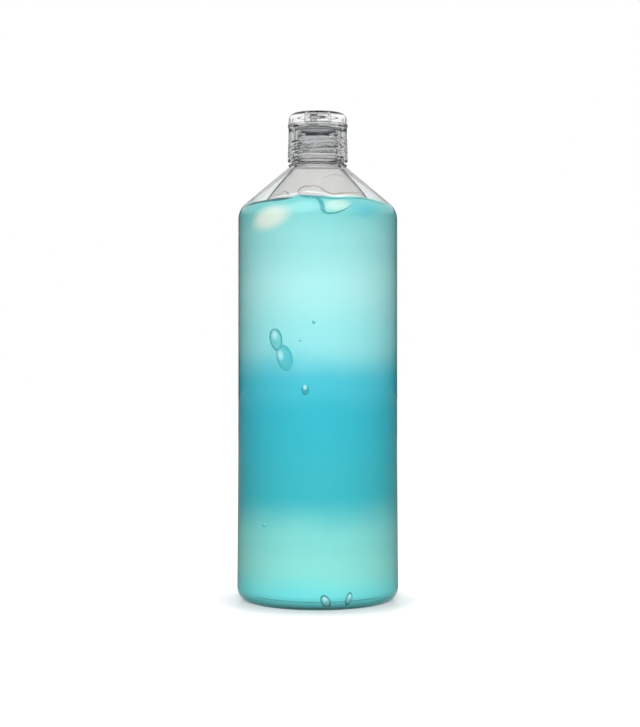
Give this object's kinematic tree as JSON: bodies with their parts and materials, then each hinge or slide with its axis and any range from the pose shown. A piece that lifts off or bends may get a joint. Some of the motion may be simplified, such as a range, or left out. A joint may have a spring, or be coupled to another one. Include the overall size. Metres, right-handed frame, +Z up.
{
  "type": "gel bottle",
  "caption": "Clear round gel bottle with a conical shoulder, filled with aqua gel, and a clear screw closure whose hinged flip lid opens a small pouring orifice.",
  "frame": {"origin": "centre of the circle that the bottle stands on, at floor level", "axes": "+Z up along the bottle's axis, +Y away from the viewer of the picture, +X to the viewer's right"},
  "size_m": [0.083, 0.083, 0.2522],
  "materials": {
    "bottle_pet": "clear blown PET, glossy",
    "gel": "clear aqua water-based gel",
    "seal": "soft grey foamed polyethylene",
    "cap_base": "clear moulded polypropylene, glossy",
    "flip_lid": "clear moulded polypropylene, glossy",
    "hinge": "clear moulded polypropylene film"
  },
  "bodies": {
    "bottle": {"bottle": "bottle_pet", "gel": "gel"},
    "seal": {"sealing_ring": "seal"},
    "cap": {"cap_base": "cap_base", "living_hinge": "hinge"},
    "lid": {"flip_lid": "flip_lid"}
  },
  "joints": [
    {"name": "cap_lift", "type": "slide", "parent": "bottle", "child": "seal", "axis": [0, 0, 1], "range_m": [0, 0.00635]},
    {"name": "cap_turn", "type": "hinge", "parent": "seal", "child": "cap", "pos_m": [0, 0, 0.235], "axis": [0, 0, 1], "range_deg": [0, 540]},
    {"name": "lid_flip", "type": "hinge", "parent": "cap", "child": "lid", "pos_m": [0.01035, 0.01234, 0.2449], "axis": [-0.766, 0.6428, 0], "range_deg": [0, 140], "deforming": ["living_hinge"]}
  ],
  "couplings": [
    {"joint": "cap_lift", "follows": "cap_turn", "m_per_rad": 0.0006737}
  ]
}
